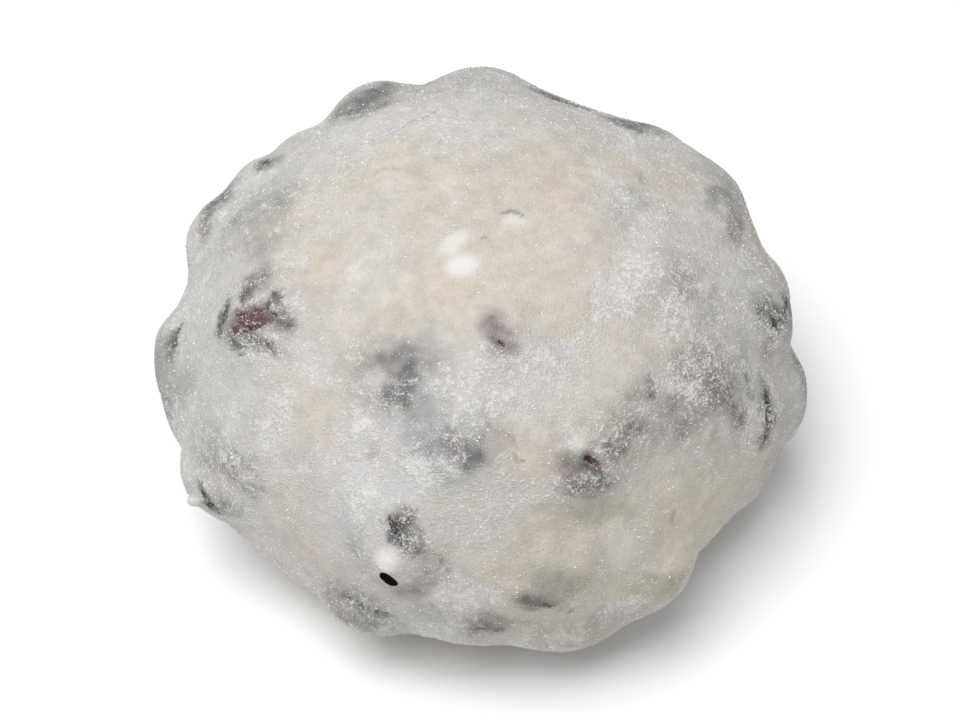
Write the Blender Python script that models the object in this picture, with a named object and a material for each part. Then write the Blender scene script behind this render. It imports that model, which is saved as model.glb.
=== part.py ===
"""Bean rice cake (mame daifuku): a soft dome of pounded rice dough with whole cooked beans kneaded into its skin.

The dough is one body that rests on a flat base.  Every bean under its skin lifts it into a bump.  Some beans break
through: each of these is a solid of its own and sits in a pocket of the dough.

Metres, +Z up.  The origin is the middle of the flat base.  A bearing is an angle seen from above: 0 is the front (-Y),
90 the right (+X), 180 the back, -90 the left.  An elevation is an angle above the horizon of the dough's core.
"""
import math

import bmesh
import bpy
import numpy as np
from mathutils import Matrix

# The dome without its beans
HALF_WIDTH = 0.0297        # along X, at the waist
HALF_DEPTH = 0.0285        # along Y, at the waist
CROWN_HEIGHT = 0.0380      # top of the plain dome
WAIST_HEIGHT = 0.0145      # where the dome is widest
TUCK_DEPTH = 0.0190        # how far under the waist the sides would close, were there no flat base
CROWN_FULLNESS = 2.15      # 2 is an ellipse, more is boxier
TUCK_FULLNESS = 2.3
CORE_HEIGHT = 0.0140       # the point that bearings and elevations are measured from
PLAN_WAVES = (             # slow swells of the outline in plan: waves round the cake, share of the radius, bearing
    (1, 0.008, 15),
    (4, 0.018, 9),
)

# The beans
BEAN_WIDTH = 0.80          # shares of the bean's length
BEAN_THICKNESS = 0.74
BEAN_BEND = 0.07           # how far the ends curve to one side, the kidney shape
COVER = 0.0006             # dough over a bean that stays under the skin
PARTING = 0.0005           # how far the dough draws back from the top of a bean that breaks through
BLEND = 0.0008             # how softly one bump runs into the next
POCKET_GAP = 0.0003        # clearance between a bean and its pocket

# Fineness of the faceted surfaces
DOUGH_CUTS = 24            # cuts along each edge of the cube that the dough's net of faces starts from
BEAN_SEGMENTS = 12
BEAN_RINGS = 8
SNAP = 0.00030             # points this close to the base plane are put on it
CREASE_ANGLE = 50          # edges sharper than this stay sharp: the rims of the pockets and of the base

DOUGH_COLOUR = (0.80, 0.76, 0.70)
BEAN_COLOUR = (0.055, 0.040, 0.042)
RED_BEAN_COLOUR = (0.150, 0.060, 0.048)

# Beans that break through the skin.
# name: bearing, elevation, length, turn of the long axis, rise of its top over the plain dome, colour
SHOWN_BEANS = {
    "bean_left_red":     (-72, 38, 0.0095, 35, 0.0012, RED_BEAN_COLOUR),
    "bean_crown_front":  (7, 59, 0.0070, 70, 0.0006, RED_BEAN_COLOUR),
    "bean_front":        (-17, 18, 0.0105, 105, 0.0016, BEAN_COLOUR),
    "bean_front_right":  (24, 32, 0.0095, 30, 0.0010, RED_BEAN_COLOUR),
    "bean_right_high":   (86, 23, 0.0100, 80, 0.0018, BEAN_COLOUR),
    "bean_right_low":    (67, 12, 0.0095, 80, 0.0012, BEAN_COLOUR),
    "bean_low_left":     (-60, 2, 0.0095, 20, 0.0020, BEAN_COLOUR),
    "bean_left_edge":    (-86, 8, 0.0100, 80, 0.0017, BEAN_COLOUR),
    "bean_back_left":    (-141, 7, 0.0095, 40, 0.0013, BEAN_COLOUR),
    "bean_back_right":   (152, 12, 0.0090, 100, 0.0013, RED_BEAN_COLOUR),
}

# Beans that stay under the skin and only lift it: bearing, elevation, length, turn, rise
COVERED_BEANS = (
    # crown and upper sides
    (-98, 38, 0.0090, 20, 0.0005),
    (-25, 49, 0.0090, 20, 0.0004),
    (-5, 40, 0.0090, 60, 0.0005),
    (41, 38, 0.0095, 10, 0.0007),
    (58, 31, 0.0095, 80, 0.0008),
    (73, 46, 0.0090, 60, 0.0006),
    (108, 33, 0.0090, 80, 0.0006),
    (-53, 16, 0.0085, 40, 0.0004),
    # front and lower sides
    (12, 8, 0.0100, 10, 0.0006),
    (-4, -4, 0.0080, 0, 0.0001),
    (-23, -8, 0.0086, 0, 0.0011),
    (35, -4, 0.0100, 30, 0.0016),
    (19, -12.5, 0.0112, 0, 0.0012),
    (81, 0, 0.0100, 80, 0.0018),
    (69, -9, 0.0070, 60, 0.0004),
    (-79, 0, 0.0075, 70, 0.0002),
    # upper back
    (-109, 20, 0.0110, 66, 0.0017),
    (-121, 24.5, 0.0070, 60, 0.0012),
    (-133, 27, 0.0060, 60, 0.0003),
    (-152, 33, 0.0088, 10, 0.0013),
    (179.5, 35, 0.0110, 0, 0.0010),
    (132, 30, 0.0085, 0, 0.0005),
    (118, 27, 0.0100, 60, 0.0011),
    # lower back
    (-114, -2, 0.0095, 30, 0.0010),
    (-163, 10, 0.0090, 70, 0.0009),
    (-152, -9, 0.0095, 10, 0.0009),
    (173, -6, 0.0095, 20, 0.0011),
    (132, 6, 0.0095, 50, 0.0010),
    (146, -11, 0.0090, 0, 0.0008),
    (106, 2, 0.0090, 20, 0.0010),
)

CORE = np.array((0.0, 0.0, CORE_HEIGHT))
REACH = 0.048              # farther from the core than any point of the cake


def clear_scene():
    for thing in list(bpy.data.objects):
        bpy.data.objects.remove(thing, do_unlink=True)


def direction(bearing, elevation):
    """The unit vector that points from the core to a bearing and an elevation in degrees."""
    turn = math.radians(bearing)
    rise = math.radians(elevation)
    return np.array((math.sin(turn) * math.cos(rise), -math.cos(turn) * math.cos(rise), math.sin(rise)))


def plain_dome(points):
    """Rough signed distance to the dome without its beans, negative inside."""
    x, y, z = points[..., 0], points[..., 1], points[..., 2]
    bearing = np.arctan2(x, -y)
    swell = np.ones_like(bearing)
    for waves, share, phase in PLAN_WAVES:
        swell = swell + share * np.cos(waves * (bearing - math.radians(phase)))
    level = z - WAIST_HEIGHT
    above = level > 0.0
    across = np.hypot(x / HALF_WIDTH, y / HALF_DEPTH) / swell
    upright = np.abs(level) / np.where(above, CROWN_HEIGHT - WAIST_HEIGHT, TUCK_DEPTH)
    fullness = np.where(above, CROWN_FULLNESS, TUCK_FULLNESS)
    ratio = np.maximum((across ** fullness + upright ** fullness) ** (1.0 / fullness), 1e-9)
    size = np.sqrt(x * x + y * y + level * level) / ratio
    return (ratio - 1.0) * np.minimum(size, REACH)


def march(field, directions, steps=30):
    """The points where rays from the core leave the field's inside."""
    near = np.zeros(len(directions))
    far = np.full(len(directions), REACH)
    for _ in range(steps):
        middle = (near + far) / 2.0
        inside = field(CORE + directions * middle[:, None]) < 0.0
        near = np.where(inside, middle, near)
        far = np.where(inside, far, middle)
    return CORE + directions * near[:, None]


def slope(field, point, step=0.00001):
    """The field's outward unit normal at a point."""
    offsets = np.eye(3) * step
    rise = field(point + offsets) - field(point - offsets)
    return rise / np.linalg.norm(rise)


class Bean:
    """A kidney-shaped bean lying on its side just under the dome's surface."""

    def __init__(self, bearing, elevation, length, turn, rise, growth):
        self.half = np.array((1.0, BEAN_WIDTH, BEAN_THICKNESS)) * length / 2.0
        self.growth = growth
        surface = march(plain_dome, direction(bearing, elevation)[None])[0]
        outward = slope(plain_dome, surface)
        level = np.cross((0.0, 0.0, 1.0), outward)
        level /= np.linalg.norm(level)
        uphill = np.cross(outward, level)
        angle = math.radians(turn)
        long_axis = math.cos(angle) * level + math.sin(angle) * uphill
        self.axes = np.stack((long_axis, np.cross(outward, long_axis), outward))
        self.centre = surface + outward * (rise - self.half[2])

    def field(self, points):
        """Rough signed distance to the bean, grown or shrunk by its growth."""
        local = (points - self.centre) @ self.axes.T
        half = self.half + self.growth
        bend = BEAN_BEND * self.half[0] * (local[..., 0] / self.half[0]) ** 2
        local[..., 1] -= bend
        ratio = np.maximum(np.linalg.norm(local / half, axis=-1), 1e-9)
        gradient = np.maximum(np.linalg.norm(local / half ** 2, axis=-1), 1e-6)
        return ratio * (ratio - 1.0) / gradient

    def matrix(self):
        """The bean's place in the world."""
        turn = Matrix(self.axes.T.tolist()).to_4x4()
        return Matrix.Translation(self.centre.tolist()) @ turn


def dough_field(points, beans):
    """The dome and all its bumps, run softly together."""
    total = np.exp(-np.clip(plain_dome(points) / BLEND, -60.0, 60.0))
    for bean in beans:
        total += np.exp(-np.clip(bean.field(points) / BLEND, -60.0, 60.0))
    return -BLEND * np.log(total)


def make_material(name, colour, roughness, subsurface=0.0):
    material = bpy.data.materials.new(name)
    material.use_nodes = True
    shader = material.node_tree.nodes["Principled BSDF"]
    shader.inputs["Base Color"].default_value = (*colour, 1.0)
    shader.inputs["Roughness"].default_value = roughness
    shader.inputs["Metallic"].default_value = 0.0
    shader.inputs["Subsurface Weight"].default_value = subsurface
    shader.inputs["Subsurface Radius"].default_value = (0.004, 0.003, 0.002)
    material.diffuse_color = (*colour, 1.0)
    return material


def add_object(name, mesh, material=None):
    thing = bpy.data.objects.new(name, mesh)
    bpy.context.scene.collection.objects.link(thing)
    if material is not None:
        mesh.materials.append(material)
    return thing


def add_dough(beans):
    """The dough: a net of near-equal faces blown out to the dough's field and cut flat underneath."""
    net = bmesh.new()
    bmesh.ops.create_cube(net, size=2.0)
    bmesh.ops.subdivide_edges(net, edges=net.edges[:], cuts=DOUGH_CUTS, use_grid_fill=True)
    corners = np.array([tuple(vertex.co) for vertex in net.verts])
    # equal steps of angle, not of length, keep the faces even
    spread = np.tan(corners * math.pi / 4.0)
    directions = spread / np.linalg.norm(spread, axis=1)[:, None]
    points = march(lambda where: dough_field(where, beans), directions)
    points[np.abs(points[:, 2]) < SNAP, 2] = 0.0
    for vertex, point in zip(net.verts, points):
        vertex.co = point

    geometry = net.verts[:] + net.edges[:] + net.faces[:]
    bmesh.ops.bisect_plane(net, geom=geometry, dist=1e-6, plane_co=(0, 0, 0), plane_no=(0, 0, 1), clear_inner=True)
    rim = [edge for edge in net.edges if edge.is_boundary]
    bmesh.ops.holes_fill(net, edges=rim, sides=0)
    bmesh.ops.recalc_face_normals(net, faces=net.faces[:])

    mesh = bpy.data.meshes.new("mochi")
    net.to_mesh(mesh)
    net.free()
    mesh.shade_smooth()
    mesh.set_sharp_from_angle(angle=math.radians(CREASE_ANGLE))
    return add_object("mochi", mesh, make_material("rice_dough", DOUGH_COLOUR, 0.75, 0.15))


def bean_mesh(name, half, bend):
    """A kidney-shaped solid with the given half sizes, its long axis along X and its round side towards -Y."""
    body = bmesh.new()
    bmesh.ops.create_uvsphere(body, u_segments=BEAN_SEGMENTS, v_segments=BEAN_RINGS, radius=1.0)
    # the sphere's poles go to the two ends of the bean
    bmesh.ops.rotate(body, verts=body.verts[:], matrix=Matrix.Rotation(math.pi / 2.0, 3, "Y"))
    for vertex in body.verts:
        x, y, z = vertex.co
        vertex.co = (x * half[0], y * half[1] + bend * x * x, z * half[2])
    bmesh.ops.recalc_face_normals(body, faces=body.faces[:])
    mesh = bpy.data.meshes.new(name)
    body.to_mesh(mesh)
    body.free()
    mesh.shade_smooth()
    return mesh


def add_shown_bean(name, bean, colour):
    mesh = bean_mesh(name, bean.half, BEAN_BEND * bean.half[0])
    thing = add_object(name, mesh, make_material(name + "_skin", colour, 0.45))
    thing.matrix_world = bean.matrix()


def cut_pocket(dough, name, bean):
    """A Boolean pocket in the dough, a little larger than the bean that sits in it."""
    mesh = bean_mesh("pocket_" + name, bean.half + POCKET_GAP, BEAN_BEND * bean.half[0])
    cutter = add_object("pocket_" + name, mesh)
    cutter.matrix_world = bean.matrix()
    cutter.hide_render = True
    cutter.display_type = "WIRE"
    cut = dough.modifiers.new("pocket_" + name, "BOOLEAN")
    cut.operation = "DIFFERENCE"
    cut.solver = "EXACT"
    cut.object = cutter


def main():
    clear_scene()
    shown = {name: Bean(*row[:5], -PARTING) for name, row in SHOWN_BEANS.items()}
    covered = [Bean(*row, COVER) for row in COVERED_BEANS]
    dough = add_dough([*shown.values(), *covered])
    for name, bean in shown.items():
        add_shown_bean(name, bean, SHOWN_BEANS[name][5])
        cut_pocket(dough, name, bean)


main()
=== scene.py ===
"""Looks of a bean rice cake: dusted dough, the beans that break through it, loose starch, a pale floor and soft light.

Metres, +Z up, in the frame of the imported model.  A bearing is an angle seen from above: 0 is the front (-Y), 90 the
right (+X), 180 the back.  An elevation is an angle above the horizon of the dough's core.  Reliefs are in metres too.
"""
import math

import bpy
import numpy as np
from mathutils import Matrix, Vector


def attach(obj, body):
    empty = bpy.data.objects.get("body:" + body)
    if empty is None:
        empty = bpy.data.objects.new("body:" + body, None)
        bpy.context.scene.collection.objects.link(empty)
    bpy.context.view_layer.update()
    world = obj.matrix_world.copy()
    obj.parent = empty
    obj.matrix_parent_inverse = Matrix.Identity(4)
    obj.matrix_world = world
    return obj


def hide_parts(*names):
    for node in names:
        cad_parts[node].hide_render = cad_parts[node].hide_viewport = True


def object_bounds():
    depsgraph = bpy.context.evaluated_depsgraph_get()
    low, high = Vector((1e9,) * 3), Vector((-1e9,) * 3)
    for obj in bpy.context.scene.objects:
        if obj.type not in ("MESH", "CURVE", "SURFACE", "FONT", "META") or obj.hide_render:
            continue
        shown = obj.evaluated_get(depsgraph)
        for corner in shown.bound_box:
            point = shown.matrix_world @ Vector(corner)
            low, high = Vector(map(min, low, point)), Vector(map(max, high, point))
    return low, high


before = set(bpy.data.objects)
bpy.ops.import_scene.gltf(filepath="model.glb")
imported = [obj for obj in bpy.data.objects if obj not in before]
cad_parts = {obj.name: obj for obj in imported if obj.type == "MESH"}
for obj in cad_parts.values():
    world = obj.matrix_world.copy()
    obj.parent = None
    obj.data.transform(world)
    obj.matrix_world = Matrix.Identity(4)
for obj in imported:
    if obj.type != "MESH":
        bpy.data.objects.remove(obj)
CAD_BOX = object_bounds()

# ---------------------------------------------------------------- the dome and its beans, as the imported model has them
HALF_WIDTH = 0.0297
HALF_DEPTH = 0.0285
CROWN_HEIGHT = 0.0380
WAIST_HEIGHT = 0.0145
TUCK_DEPTH = 0.0190
CROWN_FULLNESS = 2.15
TUCK_FULLNESS = 2.3
CORE = np.array((0.0, 0.0, 0.0140))
PLAN_WAVES = ((1, 0.008, 15), (4, 0.018, 9))
BEAN_SHAPE = np.array((1.0, 0.80, 0.74))
BEAN_BEND = 0.07
COVER = 0.0006
THIN_COVER = 0.0002        # dough over a bean that breaks through, away from the opening
SUNK = 0.00025             # how far the dough lies under a bean's surface in an opening
BLEND = 0.0008
REACH = 0.048

# ---------------------------------------------------------------- fineness
NET = 128                  # faces along each side of the cube that the dough's net starts from
NET_SHIFT = 0.75           # under 1 moves faces from the hidden base to the sides and the crown
GRAINS = 45000             # loose grains of starch
FOCUS = (                  # the net is finer round these places: bearing, elevation, radius in radians
    (-68, 39, 0.20),
    (-15, 17, 0.22),
    (-24, 48, 0.16),
    (6, 58, 0.12),
    (26, 33, 0.20),
    (67, 17, 0.20),
    (82, 25, 0.16),
    (-57, 4, 0.14),
    (-83, 16, 0.12),
    (-143, 10, 0.16),
    (152, 14, 0.16),
)
FOCUS_PULL = 0.42

# Colours, linear RGB
CREAM = (0.540, 0.480, 0.408)
PALE_DOUGH = (0.530, 0.510, 0.478)
COOL_DOUGH = (0.480, 0.478, 0.466)
SALLOW_DOUGH = (0.570, 0.525, 0.430)
POWDER = (0.655, 0.643, 0.626)
PACKED_POWDER = (0.680, 0.660, 0.640)
SPARKLE = (0.880, 0.870, 0.850)
DARK_SKIN = (0.030, 0.026, 0.028)
RED_SKIN = (0.060, 0.027, 0.025)
BLACK = (0.030, 0.028, 0.030)
GREY = (0.145, 0.145, 0.148)
WARM_GREY = (0.160, 0.146, 0.134)
BLUE_WHITE = (0.540, 0.550, 0.575)
GREEN_GREY = (0.230, 0.235, 0.215)
PLUM = (0.152, 0.126, 0.136)
WINE = (0.080, 0.035, 0.040)
OLIVE = (0.360, 0.340, 0.275)

# Beans that break through: bearing, elevation, length, turn, rise, skin colour, shade through the dough
SHOWN_BEANS = {
    "bean_left_red":     (-72, 38, 0.0095, 35, 0.0012, RED_SKIN, 0.35),
    "bean_crown_front":  (7, 59, 0.0070, 70, 0.0006, RED_SKIN, 0.10),
    "bean_front":        (-17, 18, 0.0105, 105, 0.0016, DARK_SKIN, 0.15),
    "bean_front_right":  (24, 32, 0.0095, 30, 0.0010, RED_SKIN, 0.30),
    "bean_right_high":   (86, 23, 0.0100, 80, 0.0018, DARK_SKIN, 0.45),
    "bean_right_low":    (67, 12, 0.0095, 80, 0.0012, DARK_SKIN, 0.40),
    "bean_low_left":     (-60, 2, 0.0095, 20, 0.0020, DARK_SKIN, 0.30),
    "bean_left_edge":    (-86, 8, 0.0100, 80, 0.0017, DARK_SKIN, 0.40),
    "bean_back_left":    (-141, 7, 0.0095, 40, 0.0013, DARK_SKIN, 0.75),
    "bean_back_right":   (152, 12, 0.0090, 100, 0.0013, RED_SKIN, 0.75),
}

# Beans under the skin: bearing, elevation, length, turn, rise, shade
COVERED_BEANS = (
    # crown and upper sides
    (-98, 38, 0.0090, 20, 0.0005, 0.30),
    (-25, 49, 0.0090, 20, 0.0004, 0.25),
    (-5, 40, 0.0090, 60, 0.0005, 0.20),
    (41, 38, 0.0095, 10, 0.0007, 0.30),
    (58, 31, 0.0095, 80, 0.0008, 0.35),
    (73, 46, 0.0090, 60, 0.0006, 0.20),
    (108, 33, 0.0090, 80, 0.0006, 0.35),
    (-53, 16, 0.0085, 40, 0.0004, 0.15),
    # front and lower sides
    (12, 8, 0.0100, 10, 0.0006, 0.35),
    (-4, -4, 0.0080, 0, 0.0001, 0.35),
    (-23, -8, 0.0086, 0, 0.0011, 0.50),
    (35, -4, 0.0100, 30, 0.0016, 0.35),
    (19, -12.5, 0.0112, 0, 0.0012, 0.50),
    (81, 0, 0.0100, 80, 0.0018, 0.50),
    (69, -9, 0.0070, 60, 0.0004, 0.45),
    (-79, 0, 0.0075, 70, 0.0002, 0.30),
    # upper back
    (-109, 20, 0.0110, 66, 0.0017, 0.50),
    (-121, 24.5, 0.0070, 60, 0.0012, 0.60),
    (-133, 27, 0.0060, 60, 0.0003, 0.55),
    (-152, 33, 0.0088, 10, 0.0013, 0.70),
    (179.5, 35, 0.0110, 0, 0.0010, 0.50),
    (132, 30, 0.0085, 0, 0.0005, 0.65),
    (118, 27, 0.0100, 60, 0.0011, 0.50),
    # lower back
    (-114, -2, 0.0095, 30, 0.0010, 0.60),
    (-163, 10, 0.0090, 70, 0.0009, 0.65),
    (-152, -9, 0.0095, 10, 0.0009, 0.60),
    (173, -6, 0.0095, 20, 0.0011, 0.65),
    (132, 6, 0.0095, 50, 0.0010, 0.65),
    (146, -11, 0.0090, 0, 0.0008, 0.60),
    (106, 2, 0.0090, 20, 0.0010, 0.60),
)

# Places where the dough has opened over a bean: the bean, then bearing, elevation, half length, half width, turn
OPENINGS = (
    ("bean_left_red", -68, 39.2, 0.0024, 0.0009, 62),
    ("bean_left_red", -76, 33, 0.0008, 0.0004, -60),
    ("bean_crown_front", 8, 57.5, 0.0004, 0.00012, -50),
    ("bean_front", -16, 22.0, 0.0014, 0.0004, -55),
    ("bean_front_right", 24, 33.4, 0.0008, 0.0003, -50),
    ("bean_right_high", 81, 24.0, 0.0010, 0.0005, 82),
    ("bean_right_high", 87, 23.0, 0.0010, 0.0002, 60),
    ("bean_right_low", 66.3, 15.2, 0.0018, 0.0003, 58),
    ("bean_low_left", -56, 4.3, 0.0012, 0.0004, -33),
    ("bean_left_edge", -83.2, 16.0, 0.0012, 0.0003, -63),
    ("bean_back_left", -143, 12, 0.0016, 0.0006, 20),
    ("bean_back_left", -138, 4, 0.0008, 0.0005, 0),
    ("bean_back_right", 152, 15, 0.0015, 0.0007, 115),
)

# Patches of the skin: bearing, elevation, half length, half width, turn, tint, share of the tint, change of starch
PATCHES = (
    # broad tones
    (-80, 20, 0.0170, 0.0130, 0, COOL_DOUGH, 0.85, 0.00),
    (-120, 30, 0.0150, 0.0100, 0, COOL_DOUGH, 0.70, 0.00),
    (165, 42, 0.0200, 0.0080, 0, COOL_DOUGH, 0.60, 0.00),
    (-20, 2, 0.0120, 0.0070, 0, COOL_DOUGH, 0.50, 0.00),
    (75, 15, 0.0120, 0.0120, 0, COOL_DOUGH, 0.50, 0.00),
    (35, 8, 0.0150, 0.0080, 0, SALLOW_DOUGH, 0.85, 0.00),
    (12, 71, 0.0070, 0.0050, 0, CREAM, 0.55, -0.12),
    (105, 74, 0.0050, 0.0045, 0, CREAM, 0.60, -0.10),
    (-25, 74, 0.0040, 0.0035, 0, CREAM, 0.50, -0.05),
    (-19, 37, 0.0115, 0.0060, 70, BLUE_WHITE, 0.65, 0.00),
    (-104, 38, 0.0060, 0.0060, 0, GREY, 0.10, -0.05),
    (179, 40, 0.0140, 0.0045, 0, GREY, 0.14, -0.10),
    # left shoulder
    (-147, 39.2, 0.0034, 0.0020, -38, GREY, 0.80, -0.20),
    (-155, 39, 0.0022, 0.0011, 15, GREY, 0.75, -0.25),
    (-123, 32.0, 0.0016, 0.0012, -60, GREY, 0.60, -0.20),
    (-122, 31.6, 0.0010, 0.0006, 80, BLACK, 0.70, -0.10),
    (-104, 25.5, 0.0020, 0.0013, 10, PLUM, 0.60, -0.10),
    (-111, 27.3, 0.0032, 0.0016, 8, GREY, 0.85, -0.30),
    (-103, 43, 0.0038, 0.0030, -40, GREEN_GREY, 0.50, -0.20),
    (-99, 35, 0.0034, 0.0024, 5, GREEN_GREY, 0.18, -0.05),
    (-88, 44, 0.0026, 0.0017, -80, PLUM, 0.30, 0.00),
    # round the red bean on the left
    (-74.5, 33, 0.0020, 0.0010, -55, BLACK, 1.00, -0.30),
    (-75, 40.5, 0.0012, 0.0007, -45, BLACK, 0.85, -0.05),
    (-77.5, 42, 0.0022, 0.0017, -45, PLUM, 0.70, -0.05),
    (-68, 39.2, 0.0030, 0.0014, 62, WINE, 0.95, -0.20),
    (-70, 44.8, 0.0013, 0.0007, -43, BLACK, 0.80, -0.10),
    (-63, 45, 0.0013, 0.0009, 17, BLACK, 0.55, -0.10),
    (-65, 36.8, 0.0040, 0.0010, 36, BLACK, 0.60, 0.05),
    # left edge and lower left
    (-83, 13.5, 0.0026, 0.0024, -54, GREY, 0.50, -0.20),
    (-83.5, 16.5, 0.0016, 0.0007, -66, BLACK, 0.70, -0.15),
    (-75, 14.5, 0.0034, 0.0018, 76, GREEN_GREY, 0.50, -0.10),
    (-79, 5, 0.0030, 0.0020, -50, GREY, 0.65, -0.20),
    (-58, 13.5, 0.0042, 0.0030, 30, GREY, 0.50, 0.05),
    (-51, 16.5, 0.0026, 0.0013, 58, GREY, 0.50, 0.05),
    (-48, 12, 0.0020, 0.0008, 60, GREY, 0.45, 0.00),
    (-55.5, 4.0, 0.0020, 0.0010, -38, BLACK, 0.80, -0.20),
    (-51.5, 5.5, 0.0018, 0.0014, -20, GREY, 0.50, -0.10),
    (-54, 24, 0.0018, 0.0013, -75, OLIVE, 0.15, -0.10),
    (-41, 35, 0.0038, 0.0028, 60, CREAM, 0.40, -0.25),
    (-25, 34, 0.0008, 0.0009, 0, WINE, 0.25, -0.10),
    # the two beans under the front of the crown
    (-24, 49.0, 0.0058, 0.0046, 0, GREY, 0.28, 0.00),
    (-7, 39.5, 0.0046, 0.0038, 30, GREY, 0.50, -0.05),
    (-26, 52.3, 0.0030, 0.0017, 30, GREY, 0.60, -0.40),
    (-22, 49.8, 0.0014, 0.0010, -35, GREY, 0.80, -0.20),
    (-22.5, 46, 0.0017, 0.0014, 20, GREY, 0.85, -0.05),
    (-13, 45.2, 0.0022, 0.0014, 10, GREEN_GREY, 0.20, -0.25),
    (-6, 40.2, 0.0022, 0.0014, -38, PLUM, 0.85, 0.00),
    (-3, 37.2, 0.0014, 0.0011, -60, GREY, 0.75, -0.05),
    # the small bean on the crown
    (6, 59.5, 0.0026, 0.0015, -62, PLUM, 0.70, -0.22),
    (8, 57.0, 0.0012, 0.0009, -50, PLUM, 0.40, 0.05),
    # front bean, and painted shade round the front knob
    (-15.6, 21.8, 0.0021, 0.0008, -60, BLACK, 0.95, -0.05),
    (-12.5, 20.5, 0.0019, 0.0012, -50, BLACK, 0.70, 0.05),
    (-14, 25.3, 0.0012, 0.0007, -41, BLACK, 0.75, -0.05),
    # painted shadow: grey skin with less starch to the lower right of the front knob, where its shadow falls
    (-12.5, 8, 0.0026, 0.0013, 50, GREY, 0.45, -0.60),
    (-10, 14.0, 0.0034, 0.0016, 70, GREY, 0.15, 0.00),
    (-24, 18.5, 0.0030, 0.0016, 80, GREY, 0.10, 0.10),
    # painted shade in the crease that curves round the left of the front knob
    (-22, 12.5, 0.0034, 0.0014, -66, GREY, 0.20, 0.00),
    # beans on the right of the front
    (25, 31.5, 0.0048, 0.0034, 10, WARM_GREY, 0.25, 0.00),
    (58, 31, 0.0070, 0.0050, 0, WARM_GREY, 0.20, 0.00),
    (22.5, 29, 0.0018, 0.0014, 0, PLUM, 0.85, -0.10),
    (24, 33.3, 0.0014, 0.0008, -60, WINE, 1.00, -0.15),
    (20, 34.6, 0.0018, 0.0014, 0, WARM_GREY, 0.65, -0.40),
    (21, 31.0, 0.0020, 0.0012, 30, WINE, 0.60, -0.05),
    (28, 34, 0.0014, 0.0010, -20, BLACK, 0.65, 0.00),
    (35, 34.4, 0.0018, 0.0010, 4, BLACK, 0.50, 0.05),
    (43, 39, 0.0011, 0.0006, 32, WINE, 0.80, -0.10),
    (37, 39.0, 0.0030, 0.0016, 0, WARM_GREY, 0.45, 0.05),
    (47, 31.5, 0.0034, 0.0025, 0, PLUM, 0.50, 0.05),
    (58.5, 30, 0.0028, 0.0018, -29, WARM_GREY, 0.85, -0.05),
    (60, 35.5, 0.0034, 0.0022, -40, PLUM, 0.70, 0.05),
    (61, 22, 0.0034, 0.0015, -74, PLUM, 0.70, 0.05),
    # right edge
    (82, 28.5, 0.0018, 0.0013, -80, GREEN_GREY, 0.75, 0.00),
    (80.5, 24, 0.0018, 0.0014, 82, BLACK, 0.80, 0.15),
    (82, 26.5, 0.0016, 0.0011, -60, BLACK, 0.65, 0.00),
    (78, 21.5, 0.0018, 0.0011, -50, WARM_GREY, 0.60, 0.10),
    (66.5, 15.2, 0.0032, 0.0011, 58, BLACK, 0.65, 0.05),
    (62.5, 13, 0.0014, 0.0009, 40, WARM_GREY, 0.50, 0.00),
    (84, 5, 0.0036, 0.0018, 74, WARM_GREY, 0.60, -0.35),
    (68, 2, 0.0034, 0.0030, 0, SALLOW_DOUGH, 0.50, -0.30),
    (86, 21, 0.0022, 0.0012, 28, PLUM, 0.40, -0.30),
    (73, 47, 0.0018, 0.0012, 0, PLUM, 0.42, 0.00),
    (71, 45, 0.0014, 0.0010, -12, PLUM, 0.35, 0.00),
    (70, 49, 0.0050, 0.0026, -8, GREY, 0.25, 0.00),
    # top right
    (109, 35, 0.0036, 0.0016, -61, GREEN_GREY, 0.65, -0.40),
    (101, 33, 0.0027, 0.0012, -14, WARM_GREY, 0.60, -0.30),
    (138, 38.0, 0.0032, 0.0020, 30, GREY, 0.80, -0.30),
    (158, 38.5, 0.0030, 0.0018, 20, GREY, 0.85, -0.30),
    (106, 54.5, 0.0033, 0.0020, -51, GREEN_GREY, 0.28, 0.00),
    (95, 58.5, 0.0024, 0.0015, -45, GREEN_GREY, 0.35, 0.00),
    # bottom of the front
    (22, 22.5, 0.0034, 0.0016, -20, OLIVE, 0.50, -0.40),
    (12, 24, 0.0032, 0.0015, 6, OLIVE, 0.20, -0.35),
    (32, 1, 0.0034, 0.0014, -18, OLIVE, 0.80, -0.30),
    (14, 11, 0.0036, 0.0024, -30, GREEN_GREY, 0.55, -0.25),
    (10.5, 7.6, 0.0022, 0.0012, -20, WARM_GREY, 0.85, -0.25),
    (6, -1, 0.0080, 0.0034, 0, GREY, 0.12, -0.05),
    (2, 0.5, 0.0032, 0.0017, -5, PLUM, 0.60, -0.20),
    (-9, 2, 0.0020, 0.0014, 18, GREY, 0.20, -0.10),
    (-22, -3, 0.0042, 0.0028, -10, GREY, 0.62, -0.15),
    (39, 9, 0.0030, 0.0020, -40, SALLOW_DOUGH, 0.60, -0.20),
    (24, -4, 0.0030, 0.0020, 28, GREEN_GREY, 0.40, -0.20),
    (39, 13.5, 0.0008, 0.0004, -77, WINE, 0.40, 0.00),
)
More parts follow.
